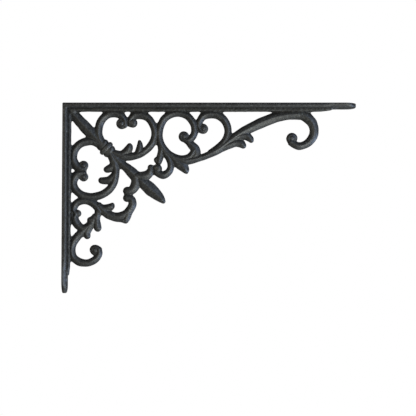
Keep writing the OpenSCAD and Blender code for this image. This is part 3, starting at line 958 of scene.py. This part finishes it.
shelfArm = {  # flange under the shelf
    "node": "shelf_arm",
    "length": shelfLength,
    "start": 0.0,
    "width": 25.0,
    "thickness": flangeThickness,
    "edgeRadius": 1.2,
    "bevel": 2.6,         # the long edges are bevelled near the tip, this wide
    "bevelReach": 38.0,   # from this far before it
    "bevelFade": 14.0,    # and reaches its full width in this length
    "outerRadius": 0.35,
    "cornerRadius": 1.0,
    "cornerFillet": 2.0,
    "wave": 0.15,
    "waveLength": 14.0,
    "seed": 11,
    "tipHole": (shelfHole, 0, screwBore, tipSink),  # along, off the middle, bore, countersink
    "holePair": [(30, -8, screwBore, pairSink), (30, 8, screwBore, pairSink)],
}
wallArm = {  # flange on the wall
    **shelfArm,
    "node": "wall_arm",
    "length": wallLength,
    "start": flangeThickness,
    "seed": 12,
    "tipHole": (wallHole, 0, screwBore, tipSink),
}
armGrid = {  # mesh cells of both arms, finer at their edges and round the holes
    "edge": 0.3,
    "edgeBand": 1.5,
    "face": 0.55,
    "corner": 0.2,
    "cornerBand": 3.0,
    "pair": 0.5,
    "pairFrom": 24.0,
    "pairTo": 36.0,
    "beforePair": 1.2,
    "middle": 1.5,
    "tip": 0.5,
    "tipBand": 12.0,      # the tip's cells start this far before its hole
    "spare": 1.0,         # and go on this far past the end
}
halfWidth = shelfArm["width"] / 2
edgeAt = halfWidth - armGrid["edgeBand"]
armWidth = lineUp(
    (-halfWidth, -edgeAt, armGrid["edge"]),
    (-edgeAt, edgeAt, armGrid["face"]),
    (edgeAt, halfWidth, armGrid["edge"]),
)
for arm, toSpace in (
    (shelfArm, lambda u, v, depth: np.stack([u, v, depth], axis=1)),
    (wallArm, lambda u, v, depth: np.stack([-depth, -v, -u], axis=1)),
):
    cornerTo = arm["start"] + armGrid["cornerBand"]
    tipFrom = arm["tipHole"][0] - armGrid["tipBand"]
    armLine = lineUp(
        (arm["start"], cornerTo, armGrid["corner"]),
        (cornerTo, armGrid["pairFrom"], armGrid["beforePair"]),
        (armGrid["pairFrom"], armGrid["pairTo"], armGrid["pair"]),
        (armGrid["pairTo"], tipFrom, armGrid["middle"]),
        (tipFrom, arm["length"] + armGrid["spare"], armGrid["tip"]),
    )
    onArm = lambda u, v, arm=arm: flangeSurface(arm, u, v)
    armPoints, armOwner, armUsed = reliefGrid(armLine, armWidth, onArm)
    armFront, armBack = surfaceAt(armPoints, armUsed, onArm)
    made = reliefPiece(
        arm["node"] + "_cast", armOwner == 0, armPoints, armFront, armBack, toSpace
    )
    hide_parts(arm["node"])
print("both arms made")

studio = {  # places in metres
    "camera": (0.1505, -1.2, -0.1725),
    "pitch": 3.05,        # degrees that it looks up
    "lens": 100.07,
    "sensor": 36,
    "clipStart": 0.01,
    "aim": (0.12, 0, -0.08),    # point that all lamps face
    "floor": -0.95,
    "floorLeft": -0.6,
    "floorRight": 0.9,
    "floorHalf": 0.75,
    "floorColour": "#E9E8E4",
    "floorRoughness": 0.8,
    "background": 1.0,    # brightness of the white behind the bracket
    "ambient": 0.1,       # and of the light from all round that falls on it
}
camera = bpy.data.objects.new("camera", bpy.data.cameras.new("camera"))
camera.location = studio["camera"]
camera.rotation_euler = (math.radians(90 + studio["pitch"]), 0, 0)
camera.data.lens = studio["lens"]
camera.data.sensor_width = studio["sensor"]
camera.data.clip_start = studio["clipStart"]
bpy.context.scene.collection.objects.link(camera)
bpy.context.scene.camera = camera


def softLight(name, place, aim, size, power, colour):
    # round lamp that faces the point aim
    lamp = bpy.data.lights.new(name, "AREA")
    lamp.shape = "DISK"
    lamp.size = size
    lamp.energy = power
    lamp.color = linear(colour)[:3]
    made = bpy.data.objects.new(name, lamp)
    made.location = place
    made.rotation_euler = (Vector(aim) - Vector(place)).to_track_quat("-Z", "Y").to_euler()
    bpy.context.scene.collection.objects.link(made)


# A tall window to the right of the camera, brighter towards its foot, one more at the side, and
# the weak light of the room from the left and from behind: place, size, watts and colour.
lamps = {
    "windowTop": ((1.16, -0.87, 0.55), 0.7, 5.6, "#B8D4FF"),
    "windowMiddle": ((1.08, -1.15, -0.13), 0.7, 5.8, "#E8F0F6"),
    "windowFoot": ((0.55, -0.45, -0.5), 0.36, 2.6, "#FCFFF2"),
    "sideWindow": ((1.52, -0.12, -0.59), 0.7, 14.3, "#BCD6FF"),
    "roomLeft": ((-0.62, -1.28, 0.18), 0.7, 4, "#FAF4E0"),
    "roomFarLeft": ((-1.28, -0.51, 0.05), 0.7, 1.2, "#F6F6E8"),
    "roomBehind": ((-0.4, 1.3, 0.5), 0.7, 16, "#F6F6F0"),
}
for name, (place, size, power, colour) in lamps.items():
    softLight(name, place, studio["aim"], size, power, colour)

floorMaterial = bpy.data.materials.new("paintedFloorMattWhite")
floorMaterial.use_nodes = True
floorShader = floorMaterial.node_tree.nodes["Principled BSDF"]
floorShader.inputs["Base Color"].default_value = linear(studio["floorColour"])
floorShader.inputs["Roughness"].default_value = studio["floorRoughness"]
floorMesh = bpy.data.meshes.new("floor")
west, east, side, level = (
    studio[key] for key in ("floorLeft", "floorRight", "floorHalf", "floor")
)
floorMesh.from_pydata(
    [(west, -side, level), (east, -side, level), (east, side, level), (west, side, level)],
    [], [(0, 1, 2, 3)],
)
floorMesh.materials.append(floorMaterial)
floor = bpy.data.objects.new("floor", floorMesh)
bpy.context.scene.collection.objects.link(floor)

world = bpy.data.worlds.new("studio")
bpy.context.scene.world = world
world.use_nodes = True
worldTree = world.node_tree
worldTree.nodes.clear()
seen = addNode(worldTree, "ShaderNodeLightPath").outputs["Is Camera Ray"]
strength = addNode(
    worldTree, "ShaderNodeMapRange",
    Value=seen, To_Min=studio["ambient"], To_Max=studio["background"],
)
sky = addNode(
    worldTree, "ShaderNodeBackground", Color=(1, 1, 1, 1), Strength=strength.outputs["Result"]
)
addNode(worldTree, "ShaderNodeOutputWorld", Surface=sky.outputs["Background"])
bpy.context.scene.view_settings.view_transform = "Standard"  # so that the background is white
print("camera and light set")
